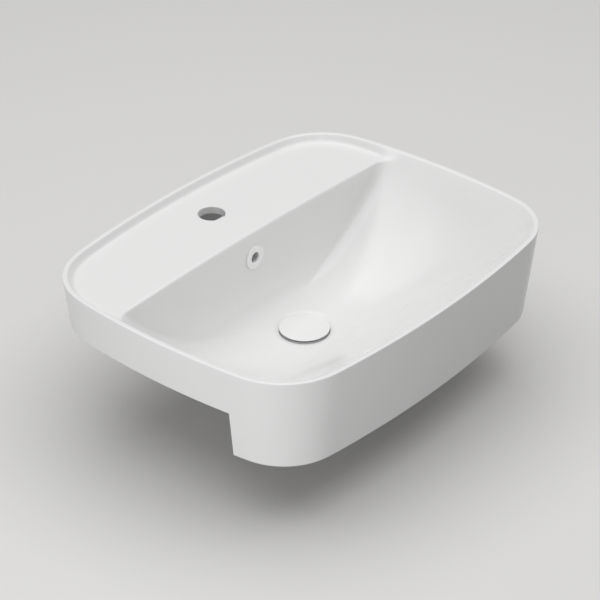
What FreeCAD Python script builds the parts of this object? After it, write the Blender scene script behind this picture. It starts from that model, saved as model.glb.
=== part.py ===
import FreeCAD, Part
import math
import os

# Semi recessed basin with a push-to-click waste. Millimetres, +Z up, +Y towards the wall, +X to the right of
# someone who faces the wall. Heights are measured from the counter's top surface, which is z = 0.
# The pieces are drawn about the waste's axis and set down with the origin in the middle of the back foot.

# Plan of the ceramic body at the rim
BASIN_WIDTH = 550.0
BASIN_DEPTH = 438.0
WASTE_SETBACK = 219.0  # from the back edge to the waste's axis
SIDE_BOW_RADIUS = 1017.0
END_BOW_RADIUS = 1424.0
CORNER_RADIUS = 91.0

# Skirts
RIM_HEIGHT = 61.0
SKIRT_DROP = 62.5  # how far the front skirt hangs below the counter's surface
FRONT_OVERHANG = 112.5  # from the front edge back to the cabinet's front
WALL_DRAFT_DEG = 6.0
SKIRT_WALL = 14.0
RETURN_WIDTH = 34.0  # the thick ends of the front skirt, which stand against the cabinet
RETURN_THICKNESS = 26.0
SKIRT_FOOT_ROUND = 1.5

# Lip and tap deck
LIP_WIDTH = 6.0
LIP_ROUND = 2.5
DECK_DROP = 10.0
DECK_THICKNESS = 10.0
DECK_LENGTH = 136.5  # from the back edge to the deck's front edge
DECK_EDGE_BOW = 4200.0
DECK_EDGE_CORNER = 22.0
DECK_BACK_RUN = 4.0
TAP_HOLE_DIAMETER = 35.0
TAP_SETBACK = 65.5
TAP_HOLE_ROUND = 1.0

# Bowl. A profile runs from the lip to the floor: 'lip' is 1 where it leaves the lip on a slant and more where
# it drops steeply first, 'foot' is 1 where it meets the floor at an angle and more where it rounds into it.
BOWL_DEPTH = 119.5
BOWL_WALL = 8.0
FLOOR_HALF_WIDTH = 50.0
FLOOR_BACK = 45.0
FLOOR_FRONT = 45.0
FLOOR_CORNER = 26.0
FLOOR_BOW = 400.0
BACK_PROFILE = {"lip": 5.0, "foot": 2.0}
SIDE_PROFILE = {"lip": 1.0, "foot": 2.3}
FRONT_PROFILE = {"lip": 1.0, "foot": 1.4}
# Control rows of the smooth surface: how many lines run up it and how closely its rows follow the edges
SPANS = (16, 10, 16, 12, 14)
WALL_ROWS = 10
DECK_ROWS = 3
EDGE_ROW_GAP = 9.0
FOOT_ROW_GAP = 9.0
BAND_ROW_SHARE = 0.55  # place of the row halfway up the band inside the lip
DECK_SPREAD_POWER = 4.0  # how suddenly that band widens towards the deck's ends

# Drain seat, boss and overflow
DISH_RADIUS = 42.0
DISH_DROP = 2.2  # the shallow slope round the cap, down to the flange's recess
DISH_ROUND = 15.0
SEAT_DROP = 6.5  # from the bowl's floor to the waste's seat
RECESS_GAP = 1.2  # round the flange
RECESS_ROUND = 0.8
DRAIN_RADIUS = 22.5
BOSS_RADIUS = 36.0
BOSS_LENGTH = 34.0  # from the seat to the boss's underside
OVERFLOW_DROP = 47.0  # from the rim to the overflow's centre
OVERFLOW_RADIUS = 11.0
DUCT_HALF_WIDTH = 14.0
DUCT_GAP = 12.0
DUCT_WALL = 8.0
DUCT_CEILING = 14.0  # height of the duct above the overflow's centre
DUCT_SWEEP = 40.0  # the slanted run that takes the duct forward

# Overflow ring
RING_RADIUS = 16.0
RING_PROUD = 1.6
RING_BORE_RADIUS = 7.2
RING_FACE_DEPTH = 3.5  # from the ring's face to where its sleeve opens out
RING_BEVEL = 0.5
RING_ROUND = 0.5
RING_SINK = 0.6  # the bowl's wall stands this far in front of the ring's seat
RING_SEAT_DEPTH = 5.0
RING_SLEEVE_LENGTH = 12.0
RING_SLEEVE_WALL = 1.5
RING_FIT = 0.15

# Waste
CAP_RADIUS = 32.0
CAP_EDGE = 2.4
CAP_DOME = 1.0
CAP_EDGE_ROUND = 0.7
CAP_UPRIGHT = 0.9  # height of the edge's upright part, above the undercut
CAP_UNDERCUT = 4.0
CAP_LIFT = 9.0
CARRIER_RADIUS = 19.0
CARRIER_THICKNESS = 3.6
SEAL_WIDTH = 5.5
SEAL_THICKNESS = 1.2
FLANGE_RADIUS = 31.0
FLANGE_THICKNESS = 2.4
FLANGE_SEAL_THICKNESS = 2.0
FLANGE_BEVEL = 0.8
MOUTH_RADIUS = 20.4
MOUTH_TAPER = 6.0
TAIL_RADIUS = 20.95  # over the thread that takes the back nut
TAIL_END_RADIUS = 20.0  # the plain end below it, for a trap's sleeve
TAIL_END_LENGTH = 28.5
TAIL_BORE_RADIUS = 18.0
TAIL_LENGTH = 88.0  # from the seat to the tail's open end
TAIL_CHAMFER = 1.2
SLOT_COUNT = 4
SLOT_WIDTH = 12.0
SLOT_HEIGHT = 14.0
SLOT_DROP = 11.0  # from the seat to the top of the overflow slots
SLOT_ROUND = 3.0
HUB_RADIUS = 9.5
HUB_HEIGHT = 7.0
SPOKE_COUNT = 3
SPOKE_WIDTH = 3.0
GASKET_HEIGHT = 9.0
GASKET_NOSE = 3.0
GASKET_LIP = 0.6
GASKET_BEVEL = 2.0
WASHER_THICKNESS = 1.5
WASHER_RADIUS = 29.0
NUT_ACROSS_FLATS = 54.0
NUT_HEIGHT = 9.0
NUT_COLLAR_HEIGHT = 2.0
NUT_CHAMFER = 1.5
THREAD_GAP = 0.05

# Click cartridge inside the waste
PLUNGER_RADIUS = 4.0
PLUNGER_FOOT_RADIUS = 5.7
PLUNGER_FOOT_HEIGHT = 4.0
PLUNGER_THREAD_RADIUS = 2.9
PLUNGER_TIP_GAP = 0.5
RUNNING_GAP = 0.05
HOUSING_RADIUS = 8.0
HOUSING_BORE_RADIUS = 6.1
HOUSING_LENGTH = 42.0
HOUSING_FLOOR = 2.5
STUB_RADIUS = 5.0
STUB_LENGTH = 14.0
BUSH_DEPTH = 6.0
BUSH_HEAD = 3.0
O_RING_THICKNESS = 1.8
CARTRIDGE_DROP = 1.5  # from the carrier's underside to the cartridge's top
RATCHET_HEIGHT = 3.5
RATCHET_BORE_RADIUS = 2.6
TOOTH_COUNT = 8
TOOTH_DEPTH = 1.0
SPRING_WIRE = 0.8
SPRING_MEAN_RADIUS = 4.9
SPRING_TURNS = 5
SPRING_END_GAP = 0.05
CARTRIDGE_NUT_FLATS = 15.0
CARTRIDGE_NUT_HEIGHT = 4.0
SEAT_GAP = 0.3  # clearance between pieces of different bodies

# How far a cutting shape runs past the faces that it cuts through
CUT_MARGIN = 1.0
SAME_PLACE = 0.01  # nearer than this, two levels are the same

# Heights and places that follow from the sizes above
Vector = FreeCAD.Vector
UP = Vector(0, 0, 1)
draft = math.tan(math.radians(WALL_DRAFT_DEG))
back_y = WASTE_SETBACK
front_y = WASTE_SETBACK - BASIN_DEPTH
mid_y = (back_y + front_y) / 2
half_width = BASIN_WIDTH / 2
foot_mid_y = back_y - RIM_HEIGHT * draft - SKIRT_WALL / 2
cabinet_y = front_y + FRONT_OVERHANG
deck_z = RIM_HEIGHT - DECK_DROP
deck_edge_y = back_y - DECK_LENGTH
tap_y = back_y - TAP_SETBACK
floor_z = RIM_HEIGHT - BOWL_DEPTH
seat_z = floor_z - SEAT_DROP
boss_z = seat_z - BOSS_LENGTH
overflow_z = RIM_HEIGHT - OVERFLOW_DROP
cavity_z = deck_z - DECK_THICKNESS
flange_z = seat_z + FLANGE_SEAL_THICKNESS
flange_top_z = flange_z + FLANGE_THICKNESS
tail_end_z = seat_z - TAIL_LENGTH
cap_z = flange_top_z + SEAT_GAP + SEAL_THICKNESS
carrier_z = cap_z - CARRIER_THICKNESS
cartridge_z = carrier_z - CARTRIDGE_DROP
bush_head_z = cartridge_z - BUSH_HEAD
bush_z = bush_head_z - BUSH_DEPTH
foot_z = bush_z - SEAT_GAP - CAP_LIFT
ratchet_z = foot_z - PLUNGER_FOOT_HEIGHT - SEAT_GAP - RATCHET_HEIGHT
housing_z = bush_head_z - HOUSING_LENGTH
hub_z = housing_z - HUB_HEIGHT
stub_z = housing_z - STUB_LENGTH
o_ring_outer = PLUNGER_RADIUS + RUNNING_GAP + O_RING_THICKNESS
gasket_z = boss_z - GASKET_HEIGHT
washer_z = gasket_z - WASHER_THICKNESS
nut_z = washer_z - NUT_HEIGHT - NUT_COLLAR_HEIGHT


def outline(side, side_r, back, back_r, back_corner, front, front_r, front_corner):
    """Right half of a soft rectangle: arcs (x, y, radius, from, to) from the back centre round to the front.

    side, back and front are its reaches from the waste's axis, each bowed outwards with its own radius.
    """
    side_c = (side - side_r, mid_y)
    back_c = (0.0, back - back_r)
    front_c = (0.0, front + front_r)
    upper = corner_centre(side_c, side_r - back_corner, back_c, back_r - back_corner, 1)
    lower = corner_centre(side_c, side_r - front_corner, front_c, front_r - front_corner, -1)
    a_back = direction(back_c, upper)
    a_side_top = direction(side_c, upper)
    a_side_low = direction(side_c, lower)
    a_front = direction(front_c, lower)
    return [
        (back_c[0], back_c[1], back_r, math.pi / 2, a_back),
        (upper[0], upper[1], back_corner, a_back, a_side_top),
        (side_c[0], side_c[1], side_r, a_side_top, a_side_low),
        (lower[0], lower[1], front_corner, a_side_low, a_front),
        (front_c[0], front_c[1], front_r, a_front, -math.pi / 2),
    ]


def direction(start, end):
    return math.atan2(end[1] - start[1], end[0] - start[0])


def corner_centre(a, ra, b, rb, side):
    """Where circles round a and b cross, on the side of the line a-b that faces the corner."""
    dx = b[0] - a[0]
    dy = b[1] - a[1]
    apart = math.hypot(dx, dy)
    along = (ra * ra - rb * rb + apart * apart) / (2 * apart)
    across = math.sqrt(ra * ra - along * along)
    points = []
    for sign in (1, -1):
        x = a[0] + along * dx / apart - sign * across * dy / apart
        y = a[1] + along * dy / apart + sign * across * dx / apart
        points.append((x, y))
    return max(points, key=lambda p: p[0] + side * p[1])


def on_arc(arc, share, z=0.0):
    x, y, radius, start, end = arc
    angle = start + (end - start) * share
    return Vector(x + radius * math.cos(angle), y + radius * math.sin(angle), z)


def mirrored(point):
    return Vector(-point.x, point.y, point.z)


def outline_wire(arcs, z):
    """Closed wire of the whole outline: back, right, front and left arcs with the corners between them."""
    back, back_corner, side, front_corner, front = arcs
    edges = [Part.Arc(mirrored(on_arc(back, 1, z)), on_arc(back, 0, z), on_arc(back, 1, z))]
    for arc in (back_corner, side, front_corner):
        edges.append(Part.Arc(on_arc(arc, 0, z), on_arc(arc, 0.5, z), on_arc(arc, 1, z)))
    edges.append(Part.Arc(on_arc(front, 0, z), on_arc(front, 1, z), mirrored(on_arc(front, 0, z))))
    for arc in (front_corner, side, back_corner):
        ends = [mirrored(on_arc(arc, share, z)) for share in (1, 0.5, 0)]
        edges.append(Part.Arc(*ends))
    return Part.Wire([edge.toShape() for edge in edges])


def body_outline(inset):
    return outline(half_width - inset, SIDE_BOW_RADIUS - inset, back_y - inset, END_BOW_RADIUS - inset,
                   CORNER_RADIUS - inset, front_y + inset, END_BOW_RADIUS - inset, CORNER_RADIUS - inset)


def drafted_block(inset, top, bottom):
    """The body's outline as a block whose wall leans in as it goes down."""
    wires = [outline_wire(body_outline(inset + (RIM_HEIGHT - z) * draft), z) for z in (top, bottom)]
    return Part.makeLoft(wires, True, True)


def edges_at(shape, z, test=None):
    """Edges that lie in the level z, or those of them that pass the test."""
    found = []
    for edge in shape.Edges:
        box = edge.BoundBox
        level = abs(box.ZMin - z) < SAME_PLACE and abs(box.ZMax - z) < SAME_PLACE
        if level and (test is None or test(edge)):
            found.append(edge)
    return found


def circle_at(shape, radius, y, z):
    """Edges that make up the circle of that radius round (0, y, z)."""
    centre = Vector(0, y, z)
    return edges_at(shape, z, lambda edge: all(
        abs(vertex.Point.distanceToPoint(centre) - radius) < SAME_PLACE for vertex in edge.Vertexes))


def cylinder(radius, bottom, top, x=0.0, y=0.0):
    return Part.makeCylinder(radius, top - bottom, Vector(x, y, bottom))


def bore(radius, bottom, top, x=0.0, y=0.0):
    """Cutting cylinder that runs past both levels."""
    return cylinder(radius, bottom - CUT_MARGIN, top + CUT_MARGIN, x, y)


def turned(profile):
    """Solid of revolution about the waste's axis, from (radius, height) corners."""
    points = [Vector(radius, 0, z) for radius, z in profile]
    face = Part.Face(Part.makePolygon(points + [points[0]]))
    return face.revolve(Vector(0, 0, 0), UP, 360)


def box(x0, x1, y0, y1, z0, z1):
    return Part.makeBox(x1 - x0, y1 - y0, z1 - z0, Vector(x0, y0, z0))


# Bowl
def smooth(share):
    return share * share * (3 - 2 * share)


def length_of(arc):
    return abs(arc[4] - arc[3]) * arc[2]


def along(arcs, share):
    """Point at a share of the length of a run of arcs."""
    left = share * sum(length_of(arc) for arc in arcs)
    for arc in arcs:
        if left <= length_of(arc) or arc is arcs[-1]:
            return on_arc(arc, left / length_of(arc))
        left -= length_of(arc)


def slant_run(reach, foot_power):
    """Width of the slanted band between the lip and the deck's level, so that it runs on into the bowl."""
    return DECK_DROP * reach / (foot_power * (BOWL_DEPTH - DECK_DROP) + DECK_DROP)


side_run = slant_run(half_width - LIP_WIDTH - FLOOR_HALF_WIDTH, SIDE_PROFILE["foot"])
front_run = slant_run(-front_y - LIP_WIDTH - FLOOR_FRONT, FRONT_PROFILE["foot"])


def mouth_outline(grow):
    """The bowl's outline at the deck's level: its back is the deck's front edge."""
    side = LIP_WIDTH + side_run - grow
    front = LIP_WIDTH + front_run - grow
    return outline(half_width - side, SIDE_BOW_RADIUS - side, deck_edge_y + grow, DECK_EDGE_BOW + grow,
                   DECK_EDGE_CORNER + grow, front_y + front, END_BOW_RADIUS - front, CORNER_RADIUS - side)


def floor_outline(grow):
    return outline(FLOOR_HALF_WIDTH + grow, FLOOR_BOW + grow, FLOOR_BACK + grow, FLOOR_BOW + grow,
                   FLOOR_CORNER + grow, -FLOOR_FRONT - grow, FLOOR_BOW + grow, FLOOR_CORNER + grow)


def meridians(grow):
    """Plan points of each line that runs up the bowl: on the floor, on the mouth and on the lip's inner edge.

    Each comes with how far it has left the deck and how far it has turned to the front.
    """
    mouth = mouth_outline(grow)
    floor = floor_outline(grow)
    lip = body_outline(LIP_WIDTH)
    joint_y = on_arc(mouth[2], 0).y
    x, y, radius, upper, lower = lip[2]
    joint_angle = math.asin((joint_y - y) / radius)
    behind = [lip[0], lip[1], (x, y, radius, upper, joint_angle)]
    ahead = [(x, y, radius, joint_angle, lower), lip[3], lip[4]]
    back_length = length_of(mouth[0]) + length_of(mouth[1])
    lines = []
    done = 0.0
    for index, count in enumerate(SPANS):
        last = 1 if index == len(SPANS) - 1 else 0
        for step in range(count + last):
            share = step / count
            if index < 2:
                edge = along(behind, (done + share * length_of(mouth[index])) / back_length)
            else:
                edge = on_arc(ahead[index - 2], share)
            lines.append((on_arc(floor[index], share), on_arc(mouth[index], share), edge,
                          *profile_blend(index, share)))
        done += length_of(mouth[index])
    return lines


def profile_blend(index, share):
    """How far a line has left the deck and how far it has turned to the front: each 0 behind, 1 in front."""
    leaving = (0.0, smooth(share), 1.0, 1.0, 1.0)[index]
    turned_front = (0.0, 0.0, smooth(share), 1.0, 1.0)[index]
    return leaving, turned_front


def reach(profile, down):
    """Share of the way out from floor to mouth that the wall has reached at a share of the depth."""
    return (1 - down ** profile["lip"]) ** (1 / profile["foot"])


def wall_rows(line, grow):
    """Points from the floor up to the bowl's mouth along one line, each row of them level."""
    foot, mouth, _, _, turned_front = line
    depth = BOWL_DEPTH - DECK_DROP + grow
    levels = [math.sin(math.pi / 2 * (1 - k / WALL_ROWS)) ** 2 for k in range(WALL_ROWS - 2)]
    levels += [EDGE_ROW_GAP / depth, 0.0]
    points = []
    for down in levels:
        across = reach(SIDE_PROFILE, down)
        behind = reach(BACK_PROFILE, down)
        lengthways = behind + (reach(FRONT_PROFILE, down) - behind) * turned_front
        points.append(Vector(foot.x + (mouth.x - foot.x) * across, foot.y + (mouth.y - foot.y) * lengthways,
                             deck_z - down * depth))
    return points


def deck_rows(line):
    """Points from the bowl's mouth over the deck, where there is one, and up to the lip's inner edge."""
    _, mouth, edge, leaving, _ = line
    start = mouth + UP * deck_z
    end = edge + UP * RIM_HEIGHT
    # At the back the deck's foot lies just inside the lip; at the sides it spreads into a slanted band
    spread = min(1.0, abs(edge.x) / (half_width - LIP_WIDTH))
    run = DECK_BACK_RUN + (side_run - DECK_BACK_RUN) * spread ** DECK_SPREAD_POWER
    inwards = (mouth - edge).normalize()
    foot = edge + inwards * run + UP * deck_z
    halfway = (start + end) * 0.5
    foot = foot + (halfway - foot) * leaving
    length = (foot - start).Length
    near = EDGE_ROW_GAP / (length + 4 * EDGE_ROW_GAP)
    far = 1 - FOOT_ROW_GAP / (length + 4 * FOOT_ROW_GAP)
    shares = [near + (far - near) * k / DECK_ROWS for k in range(DECK_ROWS + 1)] + [1.0]
    points = [start + (foot - start) * share for share in shares]
    return points + [foot + (end - foot) * BAND_ROW_SHARE, end]


def closed_surface_solid(rows):
    """Solid inside a smooth tube through closed rows of control points, with its two flat ends."""
    across = len(rows[0])
    up = len(rows)
    poles = [[row[k] for row in rows] for k in range(across)]
    surface = Part.BSplineSurface()
    surface.buildFromPolesMultsKnots(poles, [1] * (across + 1), [4] + [1] * (up - 4) + [4],
                                     list(range(across + 1)), list(range(up - 2)), True, False, 3, 3)
    side = surface.toShape()
    faces = [side]
    for edge in side.Edges:
        if edge.BoundBox.ZLength < SAME_PLACE:
            faces.append(Part.Face(Part.Wire(edge)))
    shell = Part.makeShell(faces)
    shell.sewShape()
    solid = Part.makeSolid(shell)
    return solid if solid.Volume > 0 else solid.reversed()


def around(lines, rows_of):
    """Closed rows of points from the right half's lines and their mirror images, starting in front."""
    columns = [rows_of(line) for line in reversed(lines)]
    columns += [[mirrored(p) for p in column] for column in columns[-2:0:-1]]
    return [[column[k] for column in columns] for k in range(len(columns[0]))]


def basin_inside():
    """The whole hollow under the rim: bowl, deck and the slanted band inside the lip, as one surface."""
    return closed_surface_solid(around(meridians(0.0), lambda line: wall_rows(line, 0.0) + deck_rows(line)))


def bowl_outside():
    """The bowl's underside, up to the deck's level."""
    return closed_surface_solid(around(meridians(BOWL_WALL), lambda line: wall_rows(line, BOWL_WALL)))


# Ceramic body
def duct_profile(wall):
    """Side view of the overflow duct: down behind the bowl, then forward into the drain boss."""
    front = deck_edge_y + BOWL_WALL
    back = front + DUCT_GAP
    top = overflow_z + DUCT_CEILING
    outlet_top = seat_z - SLOT_DROP
    outlet_low = outlet_top - SLOT_HEIGHT
    knee = outlet_low + DUCT_SWEEP
    if wall:
        slant = wall * math.tan(math.pi / 8)
        corners = [(front - BOWL_WALL / 2, top + wall), (back + wall, top + wall),
                   (back + wall, knee - slant), (back - DUCT_SWEEP + slant, outlet_low - wall),
                   (0, outlet_low - wall), (0, floor_z)]
    else:
        corners = [(front, top), (back, top), (back, knee), (back - DUCT_SWEEP, outlet_low), (0, outlet_low),
                   (0, outlet_top), (front - knee + outlet_top, outlet_top), (front, knee)]
    return corners


def duct(wall, half):
    points = [Vector(-half, y, z) for y, z in duct_profile(wall)]
    return Part.Face(Part.makePolygon(points + [points[0]])).extrude(Vector(2 * half, 0, 0))


def across_bore(radius, start_y, end_y):
    return Part.makeCylinder(radius, end_y - start_y, Vector(0, start_y, overflow_z), Vector(0, 1, 0))


def skirt():
    """Lip, deck slab and skirts: deep in front, shallow where it stands on the counter."""
    block = drafted_block(0.0, RIM_HEIGHT, -SKIRT_DROP)
    block = block.makeFillet(LIP_ROUND, edges_at(block, RIM_HEIGHT))
    low = -SKIRT_DROP - CUT_MARGIN
    block = block.cut(box(-half_width, half_width, cabinet_y, back_y, low, 0))
    # The foot is rounded all along, but for its straight edge against the cabinet
    foot_edges = edges_at(block, -SKIRT_DROP, lambda e: e.BoundBox.YMin < cabinet_y - SAME_PLACE)
    block = block.makeFillet(SKIRT_FOOT_ROUND, foot_edges)
    hollow = drafted_block(SKIRT_WALL, cavity_z, low)
    inner_x = half_width - SKIRT_WALL - RETURN_WIDTH
    for x0, x1 in ((inner_x, half_width), (-half_width, -inner_x)):
        hollow = hollow.cut(box(x0, x1, cabinet_y - RETURN_THICKNESS, cabinet_y, low - CUT_MARGIN, 0))
    return block.cut(hollow)


def basin_body():
    body = skirt()
    boss = cylinder(BOSS_RADIUS, boss_z, floor_z)
    body = body.fuse([bowl_outside(), boss, duct(DUCT_WALL, DUCT_HALF_WIDTH + DUCT_WALL)])
    body = body.cut(basin_inside())
    above_floor = floor_z + CUT_MARGIN
    wall_back = deck_edge_y + BOWL_WALL
    recess = FLANGE_RADIUS + RECESS_GAP
    dish = turned([(0, above_floor), (DISH_RADIUS, above_floor), (DISH_RADIUS, floor_z),
                   (recess, floor_z - DISH_DROP), (recess, seat_z), (0, seat_z)])
    body = body.cut([dish, duct(0.0, DUCT_HALF_WIDTH), bore(DRAIN_RADIUS, boss_z, seat_z),
                     bore(TAP_HOLE_DIAMETER / 2, cavity_z, deck_z, 0, tap_y),
                     across_bore(OVERFLOW_RADIUS, deck_edge_y - CUT_MARGIN, wall_back + CUT_MARGIN),
                     across_bore(RING_RADIUS + RING_FIT, deck_edge_y - RING_SEAT_DEPTH, deck_edge_y)])
    body = body.makeFillet(LIP_ROUND, edges_at(body, RIM_HEIGHT, lambda e: e.Length > BASIN_WIDTH))
    body = body.makeFillet(TAP_HOLE_ROUND, circle_at(body, TAP_HOLE_DIAMETER / 2, tap_y, deck_z))
    body = body.makeFillet(DISH_ROUND, circle_at(body, DISH_RADIUS, 0, floor_z))
    return body.makeFillet(RECESS_ROUND, circle_at(body, recess, 0, floor_z - DISH_DROP))


# Overflow ring
def overflow_ring():
    seat = deck_edge_y
    front = deck_edge_y - RING_SINK - RING_PROUD
    sleeve = OVERFLOW_RADIUS - RING_FIT
    end = seat + RING_SLEEVE_LENGTH
    profile = [(RING_BORE_RADIUS, front + RING_ROUND), (RING_BORE_RADIUS + RING_ROUND, front),
               (RING_RADIUS - RING_BEVEL, front), (RING_RADIUS, front + RING_BEVEL), (RING_RADIUS, seat),
               (sleeve, seat), (sleeve, end), (sleeve - RING_SLEEVE_WALL, end),
               (sleeve - RING_SLEEVE_WALL, front + RING_FACE_DEPTH), (RING_BORE_RADIUS, front + RING_FACE_DEPTH)]
    points = [Vector(radius, y, overflow_z) for radius, y in profile]
    face = Part.Face(Part.makePolygon(points + [points[0]]))
    return face.revolve(Vector(0, 0, overflow_z), Vector(0, 1, 0), 360)


# Waste
def ring(inner, outer, bottom, top):
    return cylinder(outer, bottom, top).cut(bore(inner, bottom, top))


def hexagon(across_flats, bottom, top):
    radius = across_flats / math.sqrt(3)
    points = [Vector(radius * math.cos(k * math.pi / 3), radius * math.sin(k * math.pi / 3), bottom)
              for k in range(7)]
    return Part.Face(Part.makePolygon(points)).extrude(UP * (top - bottom))


def spun(shape, angle):
    turned_shape = shape.copy()
    turned_shape.rotate(Vector(0, 0, 0), UP, angle)
    return turned_shape


def waste_body():
    outer = [(MOUTH_RADIUS, flange_top_z), (FLANGE_RADIUS - FLANGE_BEVEL, flange_top_z),
             (FLANGE_RADIUS, flange_top_z - FLANGE_BEVEL), (FLANGE_RADIUS, flange_z), (TAIL_RADIUS, flange_z),
             (TAIL_RADIUS, tail_end_z + TAIL_END_LENGTH), (TAIL_END_RADIUS, tail_end_z + TAIL_END_LENGTH),
             (TAIL_END_RADIUS, tail_end_z + TAIL_CHAMFER), (TAIL_END_RADIUS - TAIL_CHAMFER, tail_end_z),
             (TAIL_BORE_RADIUS, tail_end_z), (TAIL_BORE_RADIUS, flange_z - MOUTH_TAPER)]
    body = turned(outer)
    slot_top = seat_z - SLOT_DROP
    slot = box(-SLOT_WIDTH / 2, SLOT_WIDTH / 2, 0, 2 * TAIL_RADIUS, slot_top - SLOT_HEIGHT, slot_top)
    slot = slot.makeFillet(SLOT_ROUND, [e for e in slot.Edges if e.BoundBox.YLength > TAIL_RADIUS])
    body = body.cut([spun(slot, k * 360 / SLOT_COUNT) for k in range(SLOT_COUNT)])
    hub = cylinder(HUB_RADIUS, hub_z, housing_z)
    spoke = box(0, TAIL_BORE_RADIUS + CUT_MARGIN, -SPOKE_WIDTH / 2, SPOKE_WIDTH / 2, hub_z, housing_z)
    body = body.fuse([hub] + [spun(spoke, 90 + k * 360 / SPOKE_COUNT) for k in range(SPOKE_COUNT)])
    return body.cut(bore(STUB_RADIUS + THREAD_GAP, hub_z, housing_z))


def flange_seal():
    return ring(TAIL_RADIUS + THREAD_GAP, FLANGE_RADIUS - FLANGE_BEVEL, seat_z, flange_z)


def lower_gasket():
    inner = TAIL_RADIUS + THREAD_GAP
    return turned([(inner, boss_z + GASKET_NOSE), (inner + GASKET_LIP, boss_z + GASKET_NOSE),
                   (DRAIN_RADIUS - GASKET_LIP / 2, boss_z), (WASHER_RADIUS, boss_z),
                   (WASHER_RADIUS, gasket_z + GASKET_BEVEL), (WASHER_RADIUS - GASKET_BEVEL, gasket_z),
                   (inner, gasket_z)])


def slip_washer():
    return ring(TAIL_RADIUS + THREAD_GAP, WASHER_RADIUS, washer_z, gasket_z)


def back_nut():
    body = hexagon(NUT_ACROSS_FLATS, nut_z, washer_z - NUT_COLLAR_HEIGHT)
    tip = NUT_ACROSS_FLATS / math.sqrt(3)
    outside = tip + CUT_MARGIN
    cone = turned([(0, nut_z), (tip - NUT_CHAMFER, nut_z), (outside, nut_z + NUT_CHAMFER + CUT_MARGIN),
                   (outside, washer_z), (0, washer_z)])
    body = body.common(cone).fuse(cylinder(WASHER_RADIUS, washer_z - NUT_COLLAR_HEIGHT, washer_z))
    return body.cut(bore(TAIL_RADIUS + THREAD_GAP, nut_z, washer_z))


# Click cartridge
def cartridge_housing():
    body = cylinder(HOUSING_RADIUS, housing_z, bush_head_z).fuse(cylinder(STUB_RADIUS, stub_z, housing_z))
    return body.cut(cylinder(HOUSING_BORE_RADIUS, housing_z + HOUSING_FLOOR, bush_head_z + CUT_MARGIN))


def cartridge_nut():
    body = hexagon(CARTRIDGE_NUT_FLATS, hub_z - CARTRIDGE_NUT_HEIGHT, hub_z)
    return body.cut(bore(STUB_RADIUS + THREAD_GAP, hub_z - CARTRIDGE_NUT_HEIGHT, hub_z))


def guide_bush():
    plug = HOUSING_BORE_RADIUS - THREAD_GAP
    body = cylinder(plug, bush_z, bush_head_z).fuse(cylinder(HOUSING_RADIUS, bush_head_z, cartridge_z))
    body = body.cut(bore(PLUNGER_RADIUS + RUNNING_GAP, bush_z, cartridge_z))
    return body.cut(cylinder(o_ring_outer, cartridge_z - O_RING_THICKNESS, cartridge_z + CUT_MARGIN))


def stem_o_ring():
    middle = PLUNGER_RADIUS + RUNNING_GAP + O_RING_THICKNESS / 2
    return Part.makeTorus(middle, O_RING_THICKNESS / 2, Vector(0, 0, cartridge_z - O_RING_THICKNESS / 2))


def plunger():
    pin = RATCHET_BORE_RADIUS - RUNNING_GAP
    return turned([(0, cap_z - PLUNGER_TIP_GAP), (PLUNGER_THREAD_RADIUS, cap_z - PLUNGER_TIP_GAP),
                   (PLUNGER_THREAD_RADIUS, carrier_z), (PLUNGER_RADIUS, carrier_z), (PLUNGER_RADIUS, foot_z),
                   (PLUNGER_FOOT_RADIUS, foot_z), (PLUNGER_FOOT_RADIUS, foot_z - PLUNGER_FOOT_HEIGHT),
                   (pin, foot_z - PLUNGER_FOOT_HEIGHT), (pin, ratchet_z), (0, ratchet_z)])


def ratchet_ring():
    top = foot_z - PLUNGER_FOOT_HEIGHT - SEAT_GAP
    body = ring(RATCHET_BORE_RADIUS, PLUNGER_FOOT_RADIUS, ratchet_z, top)
    # Each tooth is upright on one flank and slanted on the other
    width = 2 * math.pi * PLUNGER_FOOT_RADIUS / TOOTH_COUNT / 2
    above = top + CUT_MARGIN
    corners = [Vector(0, 0, above), Vector(0, 0, top - TOOTH_DEPTH), Vector(0, width, above)]
    notch = Part.Face(Part.makePolygon(corners + [corners[0]])).extrude(Vector(2 * PLUNGER_FOOT_RADIUS, 0, 0))
    return body.cut([spun(notch, k * 360 / TOOTH_COUNT) for k in range(TOOTH_COUNT)])


def return_spring():
    bottom = housing_z + HOUSING_FLOOR + SPRING_WIRE / 2 + SPRING_END_GAP
    length = ratchet_z - SPRING_WIRE / 2 - SPRING_END_GAP - bottom
    helix = Part.makeHelix(length / SPRING_TURNS, length, SPRING_MEAN_RADIUS)
    helix.translate(UP * bottom)
    start = Vector(SPRING_MEAN_RADIUS, 0, bottom)
    section = Part.Wire(Part.Circle(start, Vector(0, 1, 0), SPRING_WIRE / 2).toShape())
    return Part.Wire(helix).makePipeShell([section], True, True)


# Cap
def cap_carrier():
    body = cylinder(CARRIER_RADIUS, carrier_z, cap_z)
    return body.cut(bore(PLUNGER_THREAD_RADIUS + THREAD_GAP, carrier_z, cap_z))


def cap_seal():
    return ring(CARRIER_RADIUS + THREAD_GAP, CARRIER_RADIUS + SEAL_WIDTH, cap_z - SEAL_THICKNESS, cap_z)


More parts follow.
